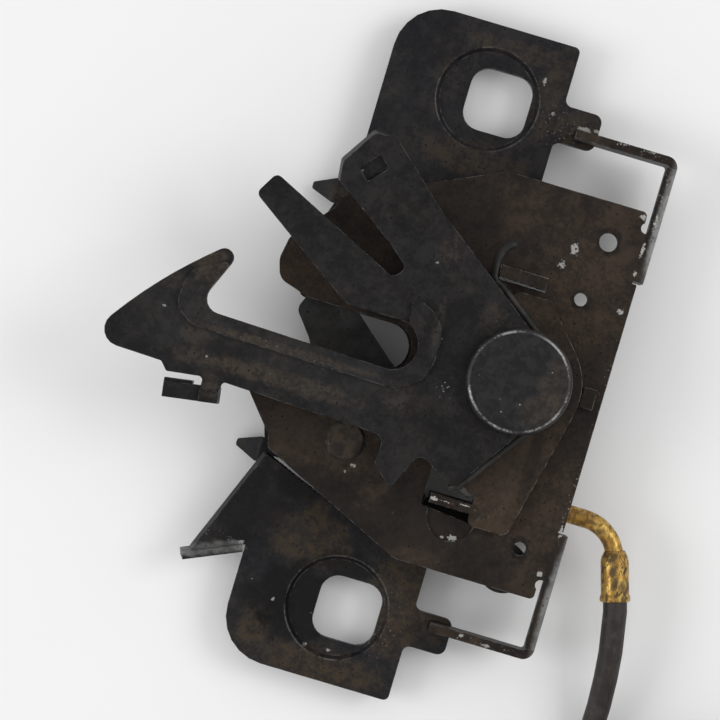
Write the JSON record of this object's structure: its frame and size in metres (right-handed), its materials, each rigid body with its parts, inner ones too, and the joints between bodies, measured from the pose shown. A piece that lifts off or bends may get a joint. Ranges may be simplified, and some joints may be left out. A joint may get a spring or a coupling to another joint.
{
  "type": "bonnet latch",
  "caption": "Pressed steel bonnet latch with slotted plates, a forked claw, a pawl, a hooked safety lever on a large rivet and a coiled release cable.",
  "frame": {"origin": "midway between the two ear holes, in the plane of the ears' rear seat faces", "axes": "+X away from the striker slot's mouth, towards the cable, +Y towards the upper ear, +Z out of the mounting face, towards the safety lever"},
  "size_m": [0.18, 0.206, 0.034],
  "materials": {
    "back_plate_steel": "satin dark phosphate coat, dusty and scuffed",
    "front_plate_steel": "satin dark phosphate coat under brown grime",
    "rivet_steel": "worn bare steel with grime",
    "spacer_steel": "dull turned steel",
    "claw_steel": "dull zinc plate with wear",
    "spring_wire": "dull oiled spring wire",
    "lever_steel": "satin blue-black coat, worn light at edges",
    "pawl_steel": "satin dark coat with grime, bright edge",
    "stop_rubber": "matt black",
    "nipple_zinc": "dull cast zinc",
    "core_wire": "stranded steel wire",
    "elbow_brass": "yellow passivated steel tube, stained",
    "sleeve_brass": "yellow passivated steel sleeve, stained",
    "sheath_plastic": "matt black plastic sheath",
    "tie_plastic": "satin black plastic",
    "ferrule_plastic": "satin black plastic"
  },
  "bodies": {
    "frame": {"back_plate": "back_plate_steel", "front_plate": "front_plate_steel", "main_pivot_rivet": "rivet_steel", "pivot_spacer": "spacer_steel", "pivot_bush": "spacer_steel", "claw_pivot_rivet": "rivet_steel", "claw_bush": "spacer_steel", "claw_spring": "spring_wire", "lever_spring": "spring_wire", "stop_buffer": "stop_rubber", "cable_core": "core_wire", "cable_elbow": "elbow_brass", "crimp_sleeve": "sleeve_brass", "cable_sheath": "sheath_plastic", "cable_coil": "sheath_plastic", "coil_tie": "tie_plastic", "cable_tail": "sheath_plastic", "end_ferrule": "ferrule_plastic", "end_core": "core_wire", "end_nipple": "nipple_zinc"},
    "claw": {"claw": "claw_steel", "claw_peg": "rivet_steel"},
    "safety_lever": {"safety_lever": "lever_steel"},
    "pawl": {"pawl": "pawl_steel", "cable_nipple": "nipple_zinc"}
  },
  "joints": [
    {"name": "lever_swing", "type": "hinge", "parent": "frame", "child": "safety_lever", "pos_m": [0.0194, 0.0005, 0], "axis": [0, 0, 1], "range_deg": [0, 15], "stiffness_Nm_per_rad": 0.6, "springref_deg": -17.19, "deforming": ["lever_spring"]},
    {"name": "pawl_swing", "type": "hinge", "parent": "frame", "child": "pawl", "pos_m": [0.0194, 0.0005, 0], "axis": [0, 0, 1], "range_deg": [0, 11], "stiffness_Nm_per_rad": 0.5, "springref_deg": -11.46, "deforming": ["cable_core"]},
    {"name": "claw_swing", "type": "hinge", "parent": "frame", "child": "claw", "pos_m": [-0.0105, -0.0209, 0], "axis": [0, 0, 1], "range_deg": [0, 40], "deforming": ["claw_spring"]}
  ],
  "couplings": [
    {"joint": "claw_swing", "follows": "pawl_swing", "ratio": 3.636}
  ]
}
